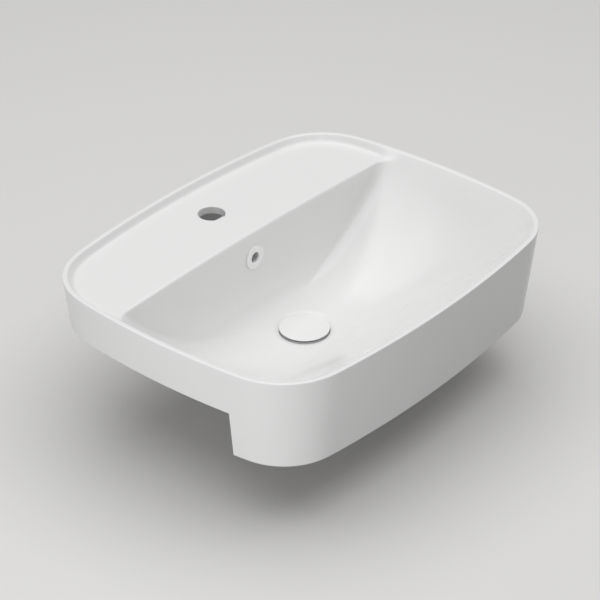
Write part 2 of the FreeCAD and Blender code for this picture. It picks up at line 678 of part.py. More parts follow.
def waste_cap():
    """White disc with a low dome and an undercut rim."""
    rim_top = cap_z + CAP_EDGE
    dome = Part.Arc(Vector(CAP_RADIUS, 0, rim_top), Vector(CAP_RADIUS * 0.5, 0, rim_top + CAP_DOME * 0.75),
                    Vector(0, 0, rim_top + CAP_DOME)).toShape()
    corners = [Vector(0, 0, rim_top + CAP_DOME), Vector(0, 0, cap_z),
               Vector(CAP_RADIUS - CAP_UNDERCUT, 0, cap_z), Vector(CAP_RADIUS, 0, rim_top - CAP_UPRIGHT),
               Vector(CAP_RADIUS, 0, rim_top)]
    sides = [Part.makeLine(a, b) for a, b in zip(corners[:-1], corners[1:])]
    body = Part.Face(Part.Wire([dome] + sides)).revolve(Vector(0, 0, 0), UP, 360)
    return body.makeFillet(CAP_EDGE_ROUND, edges_at(body, rim_top))


def save(node, shape):
    shape = shape.removeSplitter()
    shape.translate(Vector(0, -foot_mid_y, 0))
    shape.exportStep("parts/" + node + ".step")
    solids = shape.Solids
    print(node, len(solids), "solid(s)", round(sum(s.Volume for s in solids) / 1000, 3), "cm3",
          "valid" if shape.isValid() else "NOT VALID")


PIECES = [basin_body, overflow_ring, waste_body, flange_seal, lower_gasket, slip_washer, back_nut,
          cartridge_housing, cartridge_nut, guide_bush, stem_o_ring, return_spring, plunger, ratchet_ring,
          cap_carrier, cap_seal, waste_cap]

os.makedirs("parts", exist_ok=True)
for piece in PIECES:
    save(piece.__name__, piece())
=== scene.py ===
import math
import bmesh
import bpy
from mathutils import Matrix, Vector


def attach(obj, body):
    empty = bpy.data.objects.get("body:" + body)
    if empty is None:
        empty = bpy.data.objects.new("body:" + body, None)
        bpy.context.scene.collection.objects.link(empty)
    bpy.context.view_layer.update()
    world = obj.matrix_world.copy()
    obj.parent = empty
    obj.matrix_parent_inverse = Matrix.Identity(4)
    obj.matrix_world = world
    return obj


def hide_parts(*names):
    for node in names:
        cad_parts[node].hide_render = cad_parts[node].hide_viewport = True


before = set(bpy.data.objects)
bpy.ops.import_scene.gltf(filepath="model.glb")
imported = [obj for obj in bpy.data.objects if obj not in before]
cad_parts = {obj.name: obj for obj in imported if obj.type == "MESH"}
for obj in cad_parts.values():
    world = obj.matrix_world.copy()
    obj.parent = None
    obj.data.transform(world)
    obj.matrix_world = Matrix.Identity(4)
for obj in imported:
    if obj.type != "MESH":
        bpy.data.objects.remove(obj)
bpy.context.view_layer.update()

mm = 0.001
print("frame loaded")

# Sizes are in millimetres about the waste's axis, with z = 0 on the counter; `place` sets them down in metres.
basin = {
    "width": 550.0, "depth": 438.0, "wasteSetback": 219.0,
    "sideBow": 1017.0, "endBow": 1424.0, "corner": 91.0,
    "rimHeight": 61.0, "skirtDrop": 62.5, "frontOverhang": 112.5, "draftDeg": 6.0,
    "skirtWall": 14.0, "returnWidth": 34.0, "returnThickness": 26.0, "footRound": 1.5,
    "lipWidth": 6.0, "lipRound": 2.2,
    "deckDrop": 10.0, "deckThickness": 10.0, "deckLength": 136.5, "deckEdgeBow": 4200.0,
    "deckEdgeCorner": 22.0, "deckBackRun": 4.0, "deckSpread": 4.0,
    "tapHole": 17.5, "tapSetback": 65.5, "tapRound": 1.0,
    "bowlDepth": 119.5, "bowlWall": 8.0,
    "floorHalfWidth": 50.0, "floorBack": 45.0, "floorFront": 45.0, "floorCorner": 26.0, "floorBow": 400.0,
    "backProfile": (5.0, 2.0), "sideProfile": (1.0, 2.3), "frontProfile": (1.0, 1.4),
    "spans": (14, 9, 14, 10, 12), "wallRows": 10, "deckRows": 3,
    "edgeRowGap": 9.0, "footRowGap": 9.0, "bandRowShare": 0.55,
    "dishRadius": 42.0, "dishDrop": 2.2, "recessRadius": 32.2, "seatDrop": 6.5,
    "drainRadius": 22.5, "bossRadius": 36.0, "bossLength": 34.0,
    "overflowDrop": 47.0, "overflowRadius": 11.0, "ringSeatRadius": 16.15, "ringSeatDepth": 5.0,
    "ductHalfWidth": 14.0, "ductGap": 12.0, "ductWall": 8.0, "ductCeiling": 14.0, "ductSweep": 40.0,
    "slotDrop": 11.0, "slotHeight": 14.0, "smoothing": 2,
}
draft = math.tan(math.radians(basin["draftDeg"]))
backY = basin["wasteSetback"]
frontY = backY - basin["depth"]
midY = (backY + frontY) / 2
halfWidth = basin["width"] / 2
footMidY = backY - basin["rimHeight"] * draft - basin["skirtWall"] / 2
cabinetY = frontY + basin["frontOverhang"]
deckZ = basin["rimHeight"] - basin["deckDrop"]
deckEdgeY = backY - basin["deckLength"]
tapY = backY - basin["tapSetback"]
floorZ = basin["rimHeight"] - basin["bowlDepth"]
seatZ = floorZ - basin["seatDrop"]
bossZ = seatZ - basin["bossLength"]
cavityZ = deckZ - basin["deckThickness"]
overflowZ = basin["rimHeight"] - basin["overflowDrop"]
underZ = floorZ - basin["bowlWall"] - 12  # below all of the bowl, above the boss's end


def place(point):  # from the waste's axis in millimetres to the row's frame in metres
    return Vector((point[0], point[1] - footMidY, point[2])) * mm


# Mesh helpers
def onlyActive(obj):
    if bpy.context.object and bpy.context.object.mode != "OBJECT":
        bpy.ops.object.mode_set(mode="OBJECT")
    bpy.ops.object.select_all(action="DESELECT")
    obj.select_set(True)
    bpy.context.view_layer.objects.active = obj


def editAll(obj):
    onlyActive(obj)
    bpy.ops.object.mode_set(mode="EDIT")
    bpy.ops.mesh.select_all(action="SELECT")


def volumeOf(obj):
    # In cubic metres, and below zero where the faces look inwards
    measured = bmesh.new()
    measured.from_mesh(obj.data)
    volume = measured.calc_volume(signed=True)
    measured.free()
    return volume


def tidyMesh(obj, angle=30):
    editAll(obj)
    bpy.ops.mesh.remove_doubles(threshold=1e-6)
    bpy.ops.mesh.dissolve_degenerate(threshold=1e-7)
    bpy.ops.mesh.delete_loose()
    bpy.ops.mesh.select_all(action="SELECT")
    bpy.ops.mesh.normals_make_consistent(inside=False)
    bpy.ops.object.mode_set(mode="OBJECT")
    if volumeOf(obj) < 0:
        obj.data.flip_normals()
    bpy.ops.object.shade_smooth_by_angle(angle=math.radians(angle))


def applyModifier(obj, kind, **values):
    onlyActive(obj)
    modifier = obj.modifiers.new(kind.lower(), kind)
    for key, value in values.items():
        setattr(modifier, key, value)
    bpy.ops.object.modifier_apply(modifier=modifier.name)


def carve(obj, cutter, operation="DIFFERENCE"):
    applyModifier(obj, "BOOLEAN", operation=operation, object=cutter, solver="EXACT")
    bpy.data.objects.remove(cutter)


def roundAlong(a, b, c, radius, count):
    # Points that round the corner b between a and c
    a, b, c = Vector(a), Vector(b), Vector(c)
    radius = min(radius, 0.48 * (a - b).length, 0.48 * (c - b).length)
    start, end = b + (a - b).normalized() * radius, b + (c - b).normalized() * radius
    points = []
    for k in range(count + 1):
        t = k / count
        p = start * (1 - t) ** 2 + b * 2 * t * (1 - t) + end * t ** 2
        points.append((p.x, p.y))
    return points


def softened(corners, radius, count=4):
    # A closed outline with its corners rounded, each by its own third value if it has one
    points = []
    for k, corner in enumerate(corners):
        before, after = corners[k - 1], corners[(k + 1) % len(corners)]
        own = corner[2] if len(corner) > 2 else radius
        if own and corner[0]:
            points += roundAlong(before[:2], corner[:2], after[:2], own, count)
        else:
            points.append(corner[:2])
    return points


def lathe(name, profile, steps=96, aboutY=False):
    # Spins (radius, height) points about the waste's axis, or (radius, y) points about the overflow's
    bpy.ops.mesh.primitive_circle_add(vertices=len(profile))
    obj = bpy.context.object
    obj.name = name
    for vertex, (radius, along) in zip(obj.data.vertices, profile):
        vertex.co = place((radius, along, overflowZ) if aboutY else (radius, 0, along))
    editAll(obj)
    if aboutY:
        bpy.ops.mesh.spin(steps=steps, angle=2 * math.pi, center=place((0, 0, overflowZ)), axis=(0, 1, 0))
    else:
        bpy.ops.mesh.spin(steps=steps, angle=2 * math.pi, center=place((0, 0, 0)), axis=(0, 0, 1))
    tidyMesh(obj)
    return obj


def boxCutter(x0, x1, y0, y1, z0, z1):
    bpy.ops.mesh.primitive_cube_add(size=1)
    obj = bpy.context.object
    for vertex in obj.data.vertices:
        corner = vertex.co
        vertex.co = place((x1 if corner.x > 0 else x0, y1 if corner.y > 0 else y0, z1 if corner.z > 0 else z0))
    return obj


def turnAboutWaste(obj, degrees):
    # Turns the mesh itself about the waste's axis
    centre = place((0, 0, 0))
    cosine, sine = math.cos(math.radians(degrees)), math.sin(math.radians(degrees))
    for vertex in obj.data.vertices:
        x, y = vertex.co.x - centre.x, vertex.co.y - centre.y
        vertex.co.x = centre.x + x * cosine - y * sine
        vertex.co.y = centre.y + x * sine + y * cosine
    return obj


def prism(corners, half):
    # Side view (y, z) drawn as a flat face and extruded across
    bpy.ops.mesh.primitive_circle_add(vertices=len(corners), fill_type="NGON")
    obj = bpy.context.object
    for vertex, (y, z) in zip(obj.data.vertices, corners):
        vertex.co = place((-half, y, z))
    editAll(obj)
    bpy.ops.mesh.extrude_region_move(TRANSFORM_OT_translate={"value": (2 * half * mm, 0, 0)})
    tidyMesh(obj)
    return obj


def hexagon(name, flats, bottom, top):
    # Points along X, as a spanner sees it
    bpy.ops.mesh.primitive_cylinder_add(vertices=6, radius=flats / math.sqrt(3) * mm, depth=(top - bottom) * mm,
                                        location=place((0, 0, (top + bottom) / 2)), rotation=(0, 0, math.pi / 6))
    obj = bpy.context.object
    obj.name = name
    bpy.ops.object.transform_apply(location=True, rotation=True, scale=True)
    return obj


# Plan curves of the body, each a list of arcs (x, y, radius, from, to) from the back centre round to the front
def cornerCentre(a, ra, b, rb, side):
    dx, dy = b[0] - a[0], b[1] - a[1]
    apart = math.hypot(dx, dy)
    along = (ra * ra - rb * rb + apart * apart) / (2 * apart)
    across = math.sqrt(ra * ra - along * along)
    found = []
    for sign in (1, -1):
        x = a[0] + along * dx / apart - sign * across * dy / apart
        y = a[1] + along * dy / apart + sign * across * dx / apart
        found.append((x, y))
    return max(found, key=lambda p: p[0] + side * p[1])


def heading(start, end):
    return math.atan2(end[1] - start[1], end[0] - start[0])


def softRectangle(side, sideR, back, backR, backCorner, front, frontR, frontCorner):
    sideC = (side - sideR, midY)
    backC = (0.0, back - backR)
    frontC = (0.0, front + frontR)
    upper = cornerCentre(sideC, sideR - backCorner, backC, backR - backCorner, 1)
    lower = cornerCentre(sideC, sideR - frontCorner, frontC, frontR - frontCorner, -1)
    aBack, aUpper = heading(backC, upper), heading(sideC, upper)
    aLower, aFront = heading(sideC, lower), heading(frontC, lower)
    return [(*backC, backR, math.pi / 2, aBack), (*upper, backCorner, aBack, aUpper),
            (*sideC, sideR, aUpper, aLower), (*lower, frontCorner, aLower, aFront),
            (*frontC, frontR, aFront, -math.pi / 2)]


def bodyOutline(inset):
    bow, corner = basin["endBow"] - inset, basin["corner"] - inset
    return softRectangle(halfWidth - inset, basin["sideBow"] - inset, backY - inset, bow, corner,
                         frontY + inset, bow, corner)


def onArc(arc, share):
    x, y, radius, start, end = arc
    angle = start + (end - start) * share
    return Vector((x + radius * math.cos(angle), y + radius * math.sin(angle), 0))


def arcLength(arc):
    return abs(arc[4] - arc[3]) * arc[2]


def smoothStep(share):
    return share * share * (3 - 2 * share)


def slantRun(reach, footPower):
    drop = basin["deckDrop"]
    return drop * reach / (footPower * (basin["bowlDepth"] - drop) + drop)


sideRun = slantRun(halfWidth - basin["lipWidth"] - basin["floorHalfWidth"], basin["sideProfile"][1])
frontRun = slantRun(-frontY - basin["lipWidth"] - basin["floorFront"], basin["frontProfile"][1])


def mouthOutline(grow):
    side = basin["lipWidth"] + sideRun - grow
    front = basin["lipWidth"] + frontRun - grow
    return softRectangle(halfWidth - side, basin["sideBow"] - side, deckEdgeY + grow, basin["deckEdgeBow"] + grow,
                         basin["deckEdgeCorner"] + grow, frontY + front, basin["endBow"] - front,
                         basin["corner"] - side)


def floorOutline(grow):
    bow, corner = basin["floorBow"] + grow, basin["floorCorner"] + grow
    return softRectangle(basin["floorHalfWidth"] + grow, bow, basin["floorBack"] + grow, bow, corner,
                         -basin["floorFront"] - grow, bow, corner)


def columnsOf(grow):
    # One column for each line that runs up the bowl, from the back centre round the right to the front
    mouth, floor, rim = mouthOutline(grow), floorOutline(grow), bodyOutline(0)
    x, y, radius, upper, lower = rim[2]
    joint = math.asin((onArc(mouth[2], 0).y - y) / radius)
    behind = [rim[0], rim[1], (x, y, radius, upper, joint)]
    ahead = [(x, y, radius, joint, lower), rim[3], rim[4]]
    backLength = arcLength(mouth[0]) + arcLength(mouth[1])
    behindLength = sum(arcLength(arc) for arc in behind)
    columns = []
    done = 0.0
    for index, count in enumerate(basin["spans"]):
        for step in range(count + (index == 4)):
            share = step / count
            if index < 2:
                left = (done + share * arcLength(mouth[index])) / backLength * behindLength
                for arc in behind:
                    if left <= arcLength(arc) or arc is behind[-1]:
                        break
                    left -= arcLength(arc)
                ray = (arc, left / arcLength(arc))
            else:
                ray = (ahead[index - 2], share)
            columns.append({
                "foot": onArc(floor[index], share), "mouth": onArc(mouth[index], share), "ray": ray,
                "leaving": (0.0, smoothStep(share), 1.0, 1.0, 1.0)[index],
                "front": (0.0, 0.0, smoothStep(share), 1.0, 1.0)[index]})
        done += arcLength(mouth[index])
    return columns


def rimPoint(column, inset, z):
    # Point of the body's outline set in by `inset`, on this column's line
    (x, y, radius, start, end), share = column["ray"]
    angle = start + (end - start) * share
    return Vector((x + (radius - inset) * math.cos(angle), y + (radius - inset) * math.sin(angle), z))


def wallPoint(column, inset, z):
    return rimPoint(column, inset + (basin["rimHeight"] - z) * draft, z)


def roundPoint(column, radius, z):
    foot = column["foot"]
    scale = radius / math.hypot(foot.x, foot.y)
    return Vector((foot.x * scale, foot.y * scale, z))


def reach(profile, down):
    return (1 - down ** profile[0]) ** (1 / profile[1])


def bowlPoints(column, grow):
    foot, mouth = column["foot"], column["mouth"]
    depth = basin["bowlDepth"] - basin["deckDrop"] + grow
    rows = basin["wallRows"]
    levels = [math.sin(math.pi / 2 * (1 - k / rows)) ** 2 for k in range(rows - 2)]
    points = []
    for down in levels + [basin["edgeRowGap"] / depth, 0.0]:
        across = reach(basin["sideProfile"], down)
        behind = reach(basin["backProfile"], down)
        lengthways = behind + (reach(basin["frontProfile"], down) - behind) * column["front"]
        points.append(Vector((foot.x + (mouth.x - foot.x) * across, foot.y + (mouth.y - foot.y) * lengthways,
                              deckZ - down * depth)))
    return points


def deckPoints(column):
    rimInner = rimPoint(column, basin["lipWidth"], 0)
    start = column["mouth"] + Vector((0, 0, deckZ))
    end = rimInner + Vector((0, 0, basin["rimHeight"]))
    spread = min(1.0, abs(rimInner.x) / (halfWidth - basin["lipWidth"]))
    run = basin["deckBackRun"] + (sideRun - basin["deckBackRun"]) * spread ** basin["deckSpread"]
    foot = rimInner + (column["mouth"] - rimInner).normalized() * run + Vector((0, 0, deckZ))
    foot = foot.lerp((start + end) / 2, column["leaving"])
    length = (foot - start).length
    near = basin["edgeRowGap"] / (length + 4 * basin["edgeRowGap"])
    far = 1 - basin["footRowGap"] / (length + 4 * basin["footRowGap"])
    rows = basin["deckRows"]
    points = [start.lerp(foot, near + (far - near) * k / rows) for k in range(rows + 1)]
    band = foot.lerp(end, basin["bandRowShare"])
    lastRow = end + (band - end).normalized() * basin["lipRound"]
    return points + [foot, band, lastRow, end]


def basinPoints(column):
    # The whole skin in one run: drain bore, recess, dish, bowl, deck, lip, outer wall, foot and boss
    drain, dish, recess = basin["drainRadius"], basin["dishRadius"], basin["recessRadius"]
    dishLow = floorZ - basin["dishDrop"]
    top, low, lip, toe = basin["rimHeight"], -basin["skirtDrop"], basin["lipRound"], basin["footRound"]
    points = [roundPoint(column, drain, z) for z in (bossZ, bossZ + 1, seatZ - 1, seatZ)]
    points += [roundPoint(column, radius, z) for radius, z in (
        (drain + 1, seatZ), (recess - 0.6, seatZ), (recess, seatZ + 0.6), (recess, dishLow - 1.2),
        (recess + 0.2, dishLow - 0.2), (recess + 1.4, dishLow + 0.1), (dish - 1.5, floorZ - 0.15), (dish + 1.5, floorZ))]
    points += bowlPoints(column, 0.0) + deckPoints(column)
    points += [rimPoint(column, lip * 1.7, top), rimPoint(column, lip, top), rimPoint(column, 0, top)]
    points += [wallPoint(column, 0, z) for z in (top - lip, top * 0.4, low * 0.5, low + 6, low + toe, low)]
    points += [wallPoint(column, toe, low), wallPoint(column, basin["skirtWall"] * 1.6, low)]
    boss, under = basin["bossRadius"], underZ + 6
    points += [wallPoint(column, basin["skirtWall"] * 3, under)]
    points += [roundPoint(column, radius, z) for radius, z in (
        (boss + 3, under), (boss, under - 0.5), (boss, under - 3), (boss, bossZ + 1.5), (boss, bossZ),
        (boss - 1.5, bossZ), (drain + 1, bossZ))]
    return points


def hollowPoints(column):
    # The space inside the skirt, round the drain boss
    wall, boss, low = basin["skirtWall"], basin["bossRadius"], underZ - 15
    points = [wallPoint(column, wall, z) for z in (low, low + 3, -40, 0, cavityZ - 2, cavityZ)]
    points += [wallPoint(column, wall + 3, cavityZ), roundPoint(column, boss + 3, cavityZ)]
    points += [roundPoint(column, boss, z) for z in (cavityZ, cavityZ - 3, floorZ, underZ + 4)]
    return points + [roundPoint(column, boss + 3, underZ)]


def bowlBackPoints(column):
    # The bowl and its wall as one block, up past the deck
    inner, top = basin["bossRadius"] / 4, Vector((0, 0, basin["deckDrop"]))
    points = [roundPoint(column, inner * k, floorZ - basin["bowlWall"]) for k in (1, 2, 3, 4)]
    points += bowlPoints(column, basin["bowlWall"])
    return points + [points[-1] + top, roundPoint(column, inner, deckZ + basin["deckDrop"])]


def notchPoints(column):
    # What is taken off the skirt where the basin stands on the counter
    inner = basin["skirtWall"] + 22
    return [rimPoint(column, -9, 0), rimPoint(column, -9, underZ), rimPoint(column, inner, underZ),
            rimPoint(column, inner, 0)]


def wrapRings(name, pointsOf, grow=0.0, levels=0):
    # A grid wrapped into a closed tube whose rings follow the columns, right half and mirrored left half
    half = [pointsOf(column) for column in columnsOf(grow)]
    lines = half + [[Vector((-p.x, p.y, p.z)) for p in line] for line in half[-2:0:-1]]
    around, along = len(lines), len(lines[0])
    bpy.ops.mesh.primitive_grid_add(x_subdivisions=around, y_subdivisions=along, size=1)
    obj = bpy.context.object
    obj.name = name
    for vertex in obj.data.vertices:
        row, column = divmod(vertex.index, around + 1)
        vertex.co = place(lines[column % around][row % along])
    tidyMesh(obj)
    if levels:
        applyModifier(obj, "SUBSURF", levels=levels, render_levels=levels)
    return obj


def ductSide(wall):
    # Side view of the overflow duct: down behind the bowl, then forward into the drain boss
    front = deckEdgeY + basin["bowlWall"]
    back = front + basin["ductGap"]
    top = overflowZ + basin["ductCeiling"]
    outletTop = seatZ - basin["slotDrop"]
    outletLow = outletTop - basin["slotHeight"]
    sweep = basin["ductSweep"]
    knee = outletLow + sweep
    if not wall:
        return [(front, top), (back, top), (back, knee), (back - sweep, outletLow), (0, outletLow), (0, outletTop),
                (front - knee + outletTop, outletTop), (front, knee)]
    slant = wall * math.tan(math.pi / 8)
    half = basin["bowlWall"] / 2
    depth = deckZ - floorZ
    inWall = []
    for down in (0.45, 0.65, 0.8, 0.9, 0.97):
        y = basin["floorBack"] + (deckEdgeY - basin["floorBack"]) * reach(basin["backProfile"], down)
        inWall.append((y + half * (1 - down ** 6), deckZ - down * depth - half * down ** 6))
    return [(front - half, top + wall), (back + wall, top + wall), (back + wall, knee - slant),
            (back - sweep + slant, outletLow - wall), (0, outletLow - wall), (0, floorZ - half)] + inWall[::-1]


def makeBasin():
    body = wrapRings("basin", basinPoints, levels=basin["smoothing"])
    hollow = wrapRings("hollow", hollowPoints, levels=1)
    carve(hollow, wrapRings("bowlBack", bowlBackPoints, grow=basin["bowlWall"], levels=1))
    innerX = halfWidth - basin["skirtWall"] - basin["returnWidth"]
    for x0, x1 in ((innerX, halfWidth), (-halfWidth, -innerX)):
        carve(hollow, boxCutter(x0, x1, cabinetY - basin["returnThickness"], cabinetY, underZ - 3, 0))
    carve(body, hollow)
    notch = wrapRings("notch", notchPoints)
    carve(notch, boxCutter(-halfWidth - 30, halfWidth + 30, cabinetY, backY + 30, -150, 30), "INTERSECT")
    carve(body, notch)
    print("basin hollowed and notched:", len(body.data.polygons), "faces,", round(volumeOf(body) * 1000, 3), "litres")
    carve(body, prism(ductSide(basin["ductWall"]), basin["ductHalfWidth"] + basin["ductWall"]), "UNION")
    boss = basin["bossRadius"]
    drain = basin["drainRadius"]
    carve(body, lathe("drainBore", [(0, bossZ - 5), (drain, bossZ - 5), (drain, seatZ + 2), (0, seatZ + 2)]))
    carve(body, prism(ductSide(0), basin["ductHalfWidth"]))
    tap, flare = basin["tapHole"], basin["tapRound"]
    edge = roundAlong((tap, cavityZ), (tap, deckZ), (tap + 20, deckZ), flare, 5)[:-1]
    above = [(tap + 2 * flare, deckZ + 0.2), (tap + 2 * flare, deckZ + 5), (0, deckZ + 5)]
    carve(body, turnedAt(tapY, [(0, cavityZ - 5), (tap, cavityZ - 5)] + edge + above))
    seat, bore, seatBack = basin["ringSeatRadius"], basin["overflowRadius"], deckEdgeY + basin["bowlWall"]
    carve(body, lathe("overflowBore", [
        (0, deckEdgeY - basin["ringSeatDepth"]), (seat, deckEdgeY - basin["ringSeatDepth"]), (seat, deckEdgeY),
        (bore, deckEdgeY), (bore, seatBack + 1), (0, seatBack + 1)], aboutY=True))
    print("basin bored:", len(body.data.polygons), "faces,", round(volumeOf(body) * 1000, 3), "litres")
    return body


def turnedAt(y, profile):
    # A turned cutter set back from the waste's axis
    cutter = lathe("cutter", profile)
    for vertex in cutter.data.vertices:
        vertex.co.y += y * mm
    return cutter


# Procedural finishes. Each group puts out what changes over the surface, in object coordinates.
def newGroup(name, inputs, outputs):
    tree = bpy.data.node_groups.new(name, "ShaderNodeTree")
    for title, kind, value in inputs:
        tree.interface.new_socket(title, in_out="INPUT", socket_type="NodeSocket" + kind).default_value = value
    for title, kind in outputs:
        tree.interface.new_socket(title, in_out="OUTPUT", socket_type="NodeSocket" + kind)
    return tree, tree.nodes.new("NodeGroupInput"), tree.nodes.new("NodeGroupOutput")


def node(tree, kind, **values):
    made = tree.nodes.new("ShaderNode" + kind)
    for key, value in values.items():
        if key in made.inputs:
            made.inputs[key].default_value = value
        else:
            setattr(made, key, value)
    return made


def noise(tree, where, scale, detail=2.0):
    made = node(tree, "TexNoise", Detail=detail)
    tree.links.new(where, made.inputs["Vector"])
    if isinstance(scale, (int, float)):
        made.inputs["Scale"].default_value = scale
    else:
        tree.links.new(scale, made.inputs["Scale"])
    return made.outputs["Fac"]


def maths(tree, operation, first, second):
    made = node(tree, "Math", operation=operation)
    for socket, value in zip(made.inputs, (first, second)):
        if isinstance(value, (int, float)):
            socket.default_value = value
        else:
            tree.links.new(value, socket)
    return made.outputs[0]


def between(tree, fac, low, high, start=0.3, end=0.7):
    # Noise value stretched over a range
    made = node(tree, "MapRange")
    made.inputs["From Min"].default_value = start
    made.inputs["From Max"].default_value = end
    for title, value in (("Value", fac), ("To Min", low), ("To Max", high)):
        if isinstance(value, (int, float)):
            made.inputs[title].default_value = value
        else:
            tree.links.new(value, made.inputs[title])
    return made.outputs[0]


def blendColour(tree, fac, first, second):
    made = node(tree, "Mix", data_type="RGBA")
    for index, value in ((0, fac), (6, first), (7, second)):
        if isinstance(value, tuple):
            made.inputs[index].default_value = value
        else:
            tree.links.new(value, made.inputs[index])
    return made.outputs[2]


def glossSurface():
    # Fired glaze, enamel or polished plastic: faint clouds of tint and a long, low ripple
    tree, start, end = newGroup("glossSurface", [
        ("Colour", "Color", (0.8, 0.8, 0.8, 1)), ("Tint", "Color", (0.78, 0.78, 0.77, 1)),
        ("Cloud Scale", "Float", 9.0), ("Ripple Scale", "Float", 45.0),
        ("Smooth", "Float", 0.05), ("Rough", "Float", 0.09)],
        [("Colour", "Color"), ("Roughness", "Float"), ("Height", "Float")])
    where = node(tree, "TexCoord").outputs["Object"]
    cloud = noise(tree, where, start.outputs["Cloud Scale"], 3.0)
    ripple = noise(tree, where, start.outputs["Ripple Scale"], 1.0)
    speck = noise(tree, where, 900.0, 1.0)
    tree.links.new(blendColour(tree, between(tree, cloud, 0.0, 1.0), start.outputs["Colour"], start.outputs["Tint"]),
                   end.inputs["Colour"])
    tree.links.new(between(tree, cloud, start.outputs["Smooth"], start.outputs["Rough"]), end.inputs["Roughness"])
    tree.links.new(maths(tree, "ADD", ripple, maths(tree, "MULTIPLY", speck, 0.02)), end.inputs["Height"])
    return tree


def machinedMetal():
    # Turned and plated metal: fine rings along the axis, tarnish in clouds
    tree, start, end = newGroup("machinedMetal", [
        ("Colour", "Color", (0.8, 0.8, 0.8, 1)), ("Tarnish", "Color", (0.5, 0.5, 0.5, 1)),
        ("Tarnish Amount", "Float", 0.3), ("Ring Scale", "Float", 400.0),
        ("Smooth", "Float", 0.08), ("Rough", "Float", 0.2)],
        [("Colour", "Color"), ("Roughness", "Float"), ("Height", "Float")])
    where = node(tree, "TexCoord").outputs["Object"]
    rings = node(tree, "TexWave", wave_type="BANDS", bands_direction="Z", Distortion=0.4, Detail=2.0)
    tree.links.new(where, rings.inputs["Vector"])
    tree.links.new(start.outputs["Ring Scale"], rings.inputs["Scale"])
    cloud = noise(tree, where, 70.0, 4.0)
    stain = maths(tree, "MULTIPLY", between(tree, cloud, 0.0, 1.0, 0.45, 0.75), start.outputs["Tarnish Amount"])
    tree.links.new(blendColour(tree, stain, start.outputs["Colour"], start.outputs["Tarnish"]), end.inputs["Colour"])
    tree.links.new(between(tree, cloud, start.outputs["Smooth"], start.outputs["Rough"]), end.inputs["Roughness"])
    tree.links.new(maths(tree, "ADD", rings.outputs["Fac"], maths(tree, "MULTIPLY", cloud, 0.5)), end.inputs["Height"])
    return tree


def mouldedGrain():
    # Rubber and plain plastic: a fine grain with a dusty cast in clouds
    tree, start, end = newGroup("mouldedGrain", [
        ("Colour", "Color", (0.1, 0.1, 0.1, 1)), ("Dust", "Color", (0.3, 0.3, 0.3, 1)),
        ("Dust Amount", "Float", 0.2), ("Grain Scale", "Float", 1600.0),
        ("Smooth", "Float", 0.4), ("Rough", "Float", 0.6)],
        [("Colour", "Color"), ("Roughness", "Float"), ("Height", "Float")])
    where = node(tree, "TexCoord").outputs["Object"]
    cloud = noise(tree, where, 90.0, 4.0)
    grain = noise(tree, where, start.outputs["Grain Scale"], 2.0)
    dust = maths(tree, "MULTIPLY", between(tree, cloud, 0.0, 1.0), start.outputs["Dust Amount"])
    tree.links.new(blendColour(tree, dust, start.outputs["Colour"], start.outputs["Dust"]), end.inputs["Colour"])
    tree.links.new(between(tree, cloud, start.outputs["Smooth"], start.outputs["Rough"]), end.inputs["Roughness"])
    tree.links.new(grain, end.inputs["Height"])
    return tree


def footMask(levels):
    # 1 on flat faces that point down at one of these heights, where the ceramic stood in the kiln
    tree, start, end = newGroup("footMask", [("Fade", "Float", 0.001)], [("Mask", "Float")])
    coordinates = node(tree, "TexCoord")
    normal = node(tree, "SeparateXYZ")
    tree.links.new(coordinates.outputs["Normal"], normal.inputs[0])
    height = node(tree, "SeparateXYZ")
    tree.links.new(coordinates.outputs["Object"], height.inputs[0])
    flat = maths(tree, "LESS_THAN", normal.outputs["Z"], -0.97)
    near = None
    for level in levels:
        apart = maths(tree, "ABSOLUTE", maths(tree, "SUBTRACT", height.outputs["Z"], level), 0)
        here = maths(tree, "LESS_THAN", apart, start.outputs["Fade"])
        near = here if near is None else maths(tree, "MAXIMUM", near, here)
    tree.links.new(maths(tree, "MULTIPLY", flat, near), end.inputs["Mask"])
    return tree


groups = {"gloss": glossSurface(), "metal": machinedMetal(), "moulded": mouldedGrain()}


def finish(name, kind, values, bump, **constants):
    # A material on one of the groups; `bump` is its height in millimetres, the constants are the shader's own
    made = bpy.data.materials.new(name)
    made.use_nodes = True
    tree = made.node_tree
    shader = tree.nodes["Principled BSDF"]
    for title, value in constants.items():
        shader.inputs[title.replace("_", " ")].default_value = value
    surface = node(tree, "Group", node_tree=groups[kind])
    for title, value in values.items():
        surface.inputs[title].default_value = (*value, 1) if isinstance(value, tuple) else value
    bumped = node(tree, "Bump", Strength=1.0, Distance=bump * mm)
    tree.links.new(surface.outputs["Colour"], shader.inputs["Base Color"])
    tree.links.new(surface.outputs["Roughness"], shader.inputs["Roughness"])
    tree.links.new(surface.outputs["Height"], bumped.inputs["Height"])
    tree.links.new(bumped.outputs["Normal"], shader.inputs["Normal"])
    return made


def addFoot(material, mask, colour, rough):
    # Bare, matt ceramic wherever the mask is 1
    tree = material.node_tree
    shader = tree.nodes["Principled BSDF"]
    foot = node(tree, "Group", node_tree=mask)
    for title, bare in (("Base Color", colour), ("Roughness", rough)):
        socket = shader.inputs[title]
        glazed = socket.links[0].from_socket
        if title == "Base Color":
            tree.links.new(blendColour(tree, foot.outputs["Mask"], glazed, (*bare, 1)), socket)
        else:
            made = node(tree, "Mix", data_type="FLOAT", B=bare)
            tree.links.new(foot.outputs["Mask"], made.inputs[0])
            tree.links.new(glazed, made.inputs[2])
            made.inputs[3].default_value = bare
            tree.links.new(made.outputs[0], socket)


